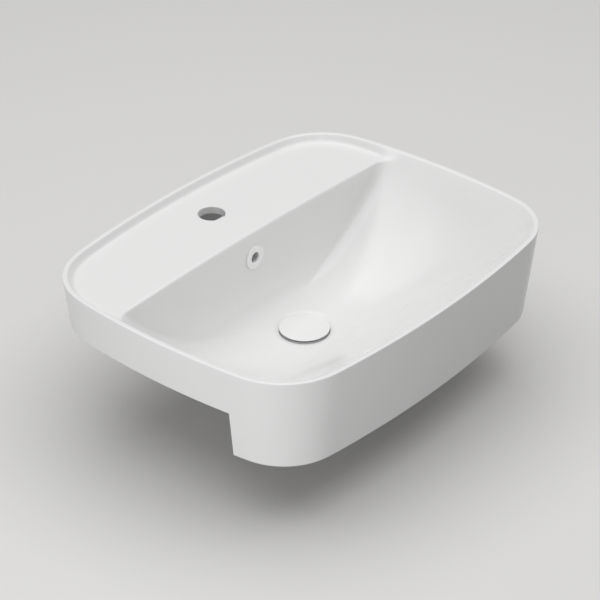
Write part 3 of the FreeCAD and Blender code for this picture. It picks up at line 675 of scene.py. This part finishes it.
whites = {"glaze": (0.80, 0.80, 0.796), "glazeTint": (0.79, 0.79, 0.786), "enamel": (0.82, 0.82, 0.815),
          "enamelTint": (0.812, 0.812, 0.807), "plastic": (0.90, 0.90, 0.895),
          "plasticTint": (0.885, 0.885, 0.88), "bisque": (0.74, 0.71, 0.66)}
finishes = {
    "glaze": finish("glaze", "gloss", {"Colour": whites["glaze"], "Tint": whites["glazeTint"], "Smooth": 0.15,
                                       "Rough": 0.18}, 0.05),
    "enamel": finish("enamel", "gloss", {"Colour": whites["enamel"], "Tint": whites["enamelTint"], "Cloud Scale": 40.0,
                                         "Ripple Scale": 120.0, "Smooth": 0.10, "Rough": 0.14}, 0.01),
    "ringPlastic": finish("ringPlastic", "gloss", {"Colour": whites["plastic"], "Tint": whites["plasticTint"],
                                                   "Cloud Scale": 80.0, "Ripple Scale": 200.0, "Smooth": 0.16,
                                                   "Rough": 0.22}, 0.008),
    "chrome": finish("chrome", "metal", {"Colour": (0.80, 0.81, 0.82), "Tarnish": (0.62, 0.63, 0.64),
                                         "Tarnish Amount": 0.25, "Ring Scale": 300.0, "Smooth": 0.06, "Rough": 0.12},
                     0.002, Metallic=1.0),
    "brass": finish("brass", "metal", {"Colour": (0.76, 0.58, 0.28), "Tarnish": (0.42, 0.27, 0.12),
                                       "Tarnish Amount": 0.45, "Ring Scale": 500.0, "Smooth": 0.20, "Rough": 0.36},
                    0.006, Metallic=1.0),
    "steel": finish("steel", "metal", {"Colour": (0.62, 0.63, 0.64), "Tarnish": (0.45, 0.45, 0.44),
                                       "Tarnish Amount": 0.3, "Ring Scale": 900.0, "Smooth": 0.18, "Rough": 0.3},
                    0.003, Metallic=1.0),
    "rubber": finish("rubber", "moulded", {"Colour": (0.022, 0.022, 0.024), "Dust": (0.09, 0.088, 0.085),
                                           "Dust Amount": 0.5, "Smooth": 0.45, "Rough": 0.65}, 0.02),
    "acetal": finish("acetal", "moulded", {"Colour": (0.74, 0.74, 0.71), "Dust": (0.62, 0.61, 0.57),
                                           "Dust Amount": 0.5, "Smooth": 0.32, "Rough": 0.45}, 0.008),
    "blackAcetal": finish("blackAcetal", "moulded", {"Colour": (0.03, 0.03, 0.032), "Dust": (0.08, 0.08, 0.08),
                                                     "Dust Amount": 0.3, "Smooth": 0.3, "Rough": 0.4}, 0.008),
}
addFoot(finishes["glaze"], footMask((0.0, -basin["skirtDrop"] * mm, bossZ * mm)), whites["bisque"], 0.75)
print("finishes made:", ", ".join(finishes))


def fit(piece, cadNode, body, look):
    piece.data.materials.clear()
    piece.data.materials.append(finishes[look])
    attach(piece, body)
    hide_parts(cadNode)


body = makeBasin()
tidyMesh(body)
fit(body, "basin_body", "basin", "glaze")
print("basin made")

# Overflow cover: a proud white ring on a sleeve
cover = {"radius": 16.0, "proud": 1.6, "sink": 0.6, "bore": 7.2, "outerRound": 0.5, "innerRound": 0.5,
         "faceDepth": 3.5, "sleeve": 10.85, "sleeveWall": 1.5, "sleeveLength": 12.0, "barb": 0.5}
front = deckEdgeY - cover["sink"] - cover["proud"]
sleeveEnd = deckEdgeY + cover["sleeveLength"]
sleeveInside = cover["sleeve"] - cover["sleeveWall"]
faceBack = front + cover["faceDepth"]
ringProfile = softened([
    (cover["bore"], front, cover["innerRound"]), (cover["radius"], front, cover["outerRound"]),
    (cover["radius"], deckEdgeY, 0.2), (cover["sleeve"], deckEdgeY, 0.2), (cover["sleeve"], sleeveEnd - 2.4, 0.2),
    (cover["sleeve"] - cover["barb"] / 2, sleeveEnd - 2.0, 0.2), (cover["sleeve"], sleeveEnd - 1.4, 0.2),
    (cover["sleeve"] - cover["barb"], sleeveEnd, 0.3), (sleeveInside, sleeveEnd, 0.3), (sleeveInside, faceBack, 0.3),
    (cover["bore"], faceBack, 0.2)], 0.2, 6)
fit(lathe("overflowRing", ringProfile, 128, aboutY=True), "overflow_ring", "basin", "ringPlastic")

# Waste: flanged tube with a thread, overflow slots, and a hub on spokes that holds the cartridge
waste = {"flangeRadius": 31.0, "flangeThickness": 2.4, "sealThickness": 2.0, "flangeRound": 0.9,
         "mouthRadius": 20.4, "mouthTaper": 6.0, "threadRadius": 20.95, "rootRadius": 19.95, "pitch": 2.309,
         "endRadius": 20.0, "endLength": 28.5, "boreRadius": 18.0, "length": 88.0, "endRound": 1.2,
         "slots": 4, "slotWidth": 12.0, "slotHeight": 14.0, "slotRound": 3.0,
         "hubRadius": 9.5, "hubHeight": 7.0, "spokes": 3, "spokeWidth": 3.0, "stubRadius": 5.0, "gap": 0.05}
cap = {"radius": 32.0, "edge": 2.4, "dome": 1.0, "upright": 0.9, "undercut": 4.0, "edgeRound": 0.7, "gap": 0.3,
       "sealThickness": 1.2, "sealWidth": 5.5, "carrierRadius": 19.0, "carrierThickness": 3.6, "drop": 1.5}
cartridge = {"radius": 8.0, "bore": 6.1, "length": 42.0, "floor": 2.5, "stubLength": 14.0, "bushDepth": 6.0,
             "bushHead": 3.0, "ring": 1.8, "plunger": 4.0, "plungerFoot": 5.7, "footHeight": 4.0, "pin": 2.55,
             "thread": 2.9, "tipGap": 0.5, "lift": 9.0, "ratchetHeight": 3.5, "nutFlats": 15.0, "nutHeight": 4.0}
flangeZ = seatZ + waste["sealThickness"]
flangeTopZ = flangeZ + waste["flangeThickness"]
tailEndZ = seatZ - waste["length"]
plainTopZ = tailEndZ + waste["endLength"]
capZ = flangeTopZ + cap["gap"] + cap["sealThickness"]
carrierZ = capZ - cap["carrierThickness"]
cartridgeZ = carrierZ - cap["drop"]
bushHeadZ = cartridgeZ - cartridge["bushHead"]
bushZ = bushHeadZ - cartridge["bushDepth"]
plungerFootZ = bushZ - cap["gap"] - cartridge["lift"]
ratchetZ = plungerFootZ - cartridge["footHeight"] - cap["gap"] - cartridge["ratchetHeight"]
housingZ = bushHeadZ - cartridge["length"]
hubZ = housingZ - waste["hubHeight"]
stubZ = housingZ - cartridge["stubLength"]


def makeThread(radius, root, bottom, top):
    # One closed ridge run up a helix, its ends tapered into the wall
    pitch, steps = waste["pitch"], 48
    deep = root - 0.6
    section = [(deep, -0.44 * pitch), (radius, -0.1 * pitch), (radius, 0.1 * pitch), (deep, 0.44 * pitch)]
    bpy.ops.mesh.primitive_circle_add(vertices=len(section))
    obj = bpy.context.object
    for vertex, (out, up) in zip(obj.data.vertices, section):
        vertex.co = Vector((out, 0, bottom + 0.5 * pitch + up)) * mm
    turns = int((top - bottom) / pitch) - 1
    applyModifier(obj, "SCREW", axis="Z", screw_offset=pitch * mm, iterations=turns, steps=steps, render_steps=steps)
    count = len(obj.data.vertices) // len(section)
    for vertex in obj.data.vertices:
        index = vertex.index // len(section)
        taper = min(1.0, index / (steps / 2), (count - 1 - index) / (steps / 2))
        out = math.hypot(vertex.co.x, vertex.co.y)
        scale = (deep * mm + (out - deep * mm) * taper) / out
        vertex.co.x *= scale
        vertex.co.y *= scale
        vertex.co.y -= footMidY * mm
    editAll(obj)
    bpy.ops.mesh.fill_holes(sides=8)
    tidyMesh(obj)
    return obj


def makeWaste():
    bore, flange, root = waste["boreRadius"], waste["flangeRadius"], waste["rootRadius"]
    body = lathe("wasteTube", softened([
        (waste["mouthRadius"], flangeTopZ, 0.8), (flange, flangeTopZ, waste["flangeRound"]), (flange, flangeZ, 0.3),
        (root, flangeZ, 0.3), (root, plainTopZ, 0.05), (waste["endRadius"], plainTopZ, 0.05),
        (waste["endRadius"], tailEndZ, waste["endRound"]), (bore, tailEndZ, 0.5),
        (bore, flangeTopZ - waste["mouthTaper"], 3.0)], 0.3, 5), 128)
    carve(body, makeThread(waste["threadRadius"], root, plainTopZ + 0.4, flangeZ - 0.2), "UNION")
    slotTop = seatZ - basin["slotDrop"]
    for k in range(waste["slots"]):
        half = waste["slotWidth"] / 2
        slot = boxCutter(-half, half, 8, 30, slotTop - waste["slotHeight"], slotTop)
        onlyActive(slot)
        bevelEdges(slot, lambda a, b: abs(a.y - b.y) > 0.005, waste["slotRound"], 4)
        carve(body, turnAboutWaste(slot, k * 360 / waste["slots"]))
    hub, stub = waste["hubRadius"], waste["stubRadius"] + waste["gap"]
    half = waste["spokeWidth"] / 2
    for k in range(waste["spokes"]):
        spoke = boxCutter(7, bore + 0.8, -half, half, hubZ, housingZ)
        bevelEdges(spoke, lambda a, b: abs(a.x - b.x) > 0.005, 0.6, 3)
        carve(body, turnAboutWaste(spoke, 90 + k * 360 / waste["spokes"]), "UNION")
    carve(body, lathe("hub", softened([(stub, hubZ), (hub, hubZ), (hub, housingZ), (stub, housingZ)], 0.5)), "UNION")
    tidyMesh(body)
    return body


def bevelEdges(obj, wanted, width, segments):
    # Rounds the edges whose two ends pass the test
    onlyActive(obj)
    bpy.ops.object.mode_set(mode="EDIT")
    bpy.ops.mesh.select_all(action="DESELECT")
    bpy.ops.object.mode_set(mode="OBJECT")
    corners = obj.data.vertices
    for edge in obj.data.edges:
        edge.select = wanted(*[corners[index].co for index in edge.vertices])
    bpy.ops.object.mode_set(mode="EDIT")
    bpy.ops.mesh.select_mode(type="EDGE")
    bpy.ops.mesh.bevel(offset=width * mm, segments=segments, affect="EDGES")
    bpy.ops.object.mode_set(mode="OBJECT")


fit(makeWaste(), "waste_body", "basin", "chrome")
print("waste tube made")

# Seals, washer and nuts under the basin
fittings = {"gap": 0.05, "gasketHeight": 9.0, "gasketNose": 3.0, "gasketLip": 0.6, "gasketBevel": 2.0,
            "washerRadius": 29.0, "washerThickness": 1.5, "nutFlats": 54.0, "nutHeight": 9.0, "collar": 2.0,
            "chamfer": 1.5}
gasketZ = bossZ - fittings["gasketHeight"]
washerZ = gasketZ - fittings["washerThickness"]
collarZ = washerZ - fittings["collar"]
nutZ = collarZ - fittings["nutHeight"]
inner = waste["threadRadius"] + fittings["gap"]
outer = fittings["washerRadius"]
sealOuter = waste["flangeRadius"] - 0.8
fit(lathe("flangeSeal", softened([(inner, seatZ), (sealOuter, seatZ), (sealOuter, flangeZ), (inner, flangeZ)], 0.5)),
    "flange_seal", "basin", "rubber")
gasket = softened([
    (inner, bossZ + fittings["gasketNose"]), (inner + fittings["gasketLip"], bossZ + fittings["gasketNose"], 0.3),
    (basin["drainRadius"] - fittings["gasketLip"] / 2, bossZ, 0.3), (outer, bossZ, 0.6),
    (outer, gasketZ + fittings["gasketBevel"], 0.8), (outer - fittings["gasketBevel"], gasketZ, 0.8),
    (inner, gasketZ, 0.2)], 0.3)
fit(lathe("lowerGasket", gasket), "lower_gasket", "basin", "rubber")
fit(lathe("slipWasher", softened([(inner, washerZ), (outer, washerZ), (outer, gasketZ), (inner, gasketZ)], 0.4)),
    "slip_washer", "basin", "acetal")


def chamferCone(flats, bottom, top, chamfer):
    # The turned blank that a hexagon is cut from: a cone under its corners, and one over them
    tip = flats / math.sqrt(3)
    return lathe("blank", [(0, bottom), (tip - chamfer * 1.6, bottom), (tip + 0.01, bottom + chamfer),
                           (tip + 0.01, top - chamfer * 0.5), (tip - chamfer * 0.8, top), (0, top)])


def makeNut(name, flats, bottom, top, chamfer, bore):
    nut = hexagon(name, flats, bottom, top)
    carve(nut, chamferCone(flats, bottom, top, chamfer), "INTERSECT")
    flare = bore + 0.7
    carve(nut, lathe("bore", [(0, bottom - 1), (flare + 1, bottom - 1), (flare, bottom), (bore, bottom + 0.7),
                              (bore, top - 0.7), (flare, top), (flare + 1, top + 1), (0, top + 1)]))
    return nut


nut = makeNut("backNut", fittings["nutFlats"], nutZ, collarZ, fittings["chamfer"], inner)
carve(nut, lathe("collar", softened([(inner, collarZ - 1.5), (outer - 0.5, collarZ - 1.5, 0), (outer, collarZ, 0.4),
                                     (outer, washerZ, 0.5), (inner, washerZ, 0.3)], 0.3)), "UNION")
tidyMesh(nut)
fit(nut, "back_nut", "basin", "brass")
print("seals, washer and back nut made")

# Click cartridge
shell, hole, stub = cartridge["radius"], cartridge["bore"], waste["stubRadius"]
housing = softened([
    (hole, bushHeadZ, 0.2), (shell, bushHeadZ, 0.3), (shell, housingZ, 0.6), (stub, housingZ, 0.2),
    (stub, stubZ, 0.7), (0, stubZ), (0, housingZ + cartridge["floor"]), (hole, housingZ + cartridge["floor"], 0.4)], 0.3)
fit(lathe("cartridgeHousing", housing, 64), "cartridge_housing", "basin", "brass")
smallNut = makeNut("cartridgeNut", cartridge["nutFlats"], hubZ - cartridge["nutHeight"], hubZ, 0.5, stub + 0.05)
tidyMesh(smallNut)
fit(smallNut, "cartridge_nut", "basin", "brass")
stemHole = cartridge["plunger"] + 0.05
ringPocket = stemHole + cartridge["ring"]
bush = softened([
    (stemHole, bushZ), (hole - 0.05, bushZ), (hole - 0.05, bushHeadZ, 0.05), (shell, bushHeadZ, 0.3),
    (shell, cartridgeZ, 0.4), (ringPocket, cartridgeZ, 0.1), (ringPocket, cartridgeZ - cartridge["ring"], 0.2),
    (stemHole, cartridgeZ - cartridge["ring"], 0.1)], 0.3)
fit(lathe("guideBush", bush, 64), "guide_bush", "basin", "blackAcetal")
stem, foot, pin, thread = (cartridge[key] for key in ("plunger", "plungerFoot", "pin", "thread"))
tip, footLow = capZ - cartridge["tipGap"], plungerFootZ - cartridge["footHeight"]
plunger = softened([
    (0, tip), (thread, tip, 0.5), (thread, carrierZ, 0.1), (stem, carrierZ, 0.3), (stem, plungerFootZ, 0.1),
    (foot, plungerFootZ, 0.3), (foot, footLow, 0.3), (pin, footLow, 0.1), (pin, ratchetZ, 0.4), (0, ratchetZ)], 0.2)
fit(lathe("clickPlunger", plunger, 64), "plunger", "cap", "steel")
print("cartridge made")

# Cap
rimTop = capZ + cap["edge"]
domeRadius = (cap["radius"] ** 2 + cap["dome"] ** 2) / (2 * cap["dome"])
dome = []
for k in range(10):
    x = cap["radius"] * k / 10
    dome.append((x, rimTop + cap["dome"] - domeRadius + math.sqrt(domeRadius ** 2 - x ** 2)))
edge = cap["radius"]
rimRound = roundAlong(dome[-1], (edge, rimTop), (edge, rimTop - cap["upright"]), cap["edgeRound"], 6)
lowRound = roundAlong((edge, rimTop), (edge, rimTop - cap["upright"]), (edge - cap["undercut"], capZ), 0.2, 3)
capPlan = dome + rimRound + lowRound + [(edge - cap["undercut"], capZ), (0, capZ)]
fit(lathe("wasteCap", capPlan, 160), "waste_cap", "cap", "enamel")
carrierHole = thread + 0.05
carrier = cap["carrierRadius"]
fit(lathe("capCarrier", softened([(carrierHole, carrierZ), (carrier, carrierZ, 1.0), (carrier, capZ, 0.1),
                                  (carrierHole, capZ, 0.1)], 0.3)), "cap_carrier", "cap", "chrome")
lip = carrier + cap["sealWidth"]
fit(lathe("capSeal", softened([(carrier + 0.05, capZ - cap["sealThickness"]), (lip, capZ - cap["sealThickness"], 0.55),
                               (lip, capZ, 0.4), (carrier + 0.05, capZ)], 0.1)), "cap_seal", "cap", "rubber")
print("cap made")

# The coil, the small ring and the ratchet keep their own shapes
for cadNode, look in (("return_spring", "steel"), ("stem_o_ring", "rubber"), ("ratchet_ring", "acetal")):
    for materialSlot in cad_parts[cadNode].material_slots:
        materialSlot.material = finishes[look]

# Studio
studio = {"floorZ": -153.5, "floorSeen": (0.70, 0.695, 0.685), "floorGiven": (0.25, 0.25, 0.25), "world": 0.38,
          "topLight": {"offset": (0.0, 0.0, 2.3), "size": (3.6, 3.6), "energy": 59, "inGloss": True},
          "leftLight": {"offset": (-1.6, -0.5, 0.02), "size": (1.2, 0.25), "energy": 10.5, "inGloss": False}}
bpy.ops.mesh.primitive_plane_add(size=60, location=place((0, 0, studio["floorZ"])))
floor = bpy.context.object
floor.name = "floor"
floorLook = bpy.data.materials.new("floor")
floorLook.use_nodes = True
tree = floorLook.node_tree
shader = tree.nodes["Principled BSDF"]
shader.inputs["Roughness"].default_value = 0.9
path = node(tree, "LightPath")
seen = maths(tree, "MAXIMUM", path.outputs["Is Camera Ray"],
             maths(tree, "MAXIMUM", path.outputs["Is Glossy Ray"], path.outputs["Is Transmission Ray"]))
tree.links.new(blendColour(tree, seen, (*studio["floorGiven"], 1), (*studio["floorSeen"], 1)), shader.inputs["Base Color"])
floor.data.materials.append(floorLook)
world = bpy.data.worlds.new("studio")
bpy.context.scene.world = world
world.use_nodes = True
world.node_tree.nodes["Background"].inputs["Color"].default_value = (1, 1, 1, 1)
world.node_tree.nodes["Background"].inputs["Strength"].default_value = studio["world"]


def softbox(name):
    light = studio[name]
    offset = Vector(light["offset"])
    bpy.ops.object.light_add(type="AREA", location=place((0, 0, 0)) + offset)
    lamp = bpy.context.object
    lamp.name = name
    lamp.data.shape = "RECTANGLE"
    lamp.data.size, lamp.data.size_y = light["size"]
    lamp.data.energy = light["energy"]
    lamp.visible_camera = False
    lamp.visible_glossy = light["inGloss"]
    lamp.rotation_euler = (-offset).to_track_quat("-Z", "Y").to_euler()


for lightName in ("topLight", "leftLight"):
    softbox(lightName)

# Camera at the photograph's angle
camera = {"position": (-1853.75, -1541.94, 1502.86), "yaw": 50.09, "elevation": 32.22, "lens": 137.1, "shift": 0.00125}
bpy.ops.object.camera_add(location=place(camera["position"]),
                          rotation=(math.radians(90 - camera["elevation"]), 0, math.radians(-camera["yaw"])))
eye = bpy.context.object
eye.data.lens = camera["lens"]
eye.data.sensor_width = 36
eye.data.shift_x = camera["shift"]
bpy.context.scene.camera = eye
bpy.context.scene.view_settings.view_transform = "Standard"
print("studio and camera set")
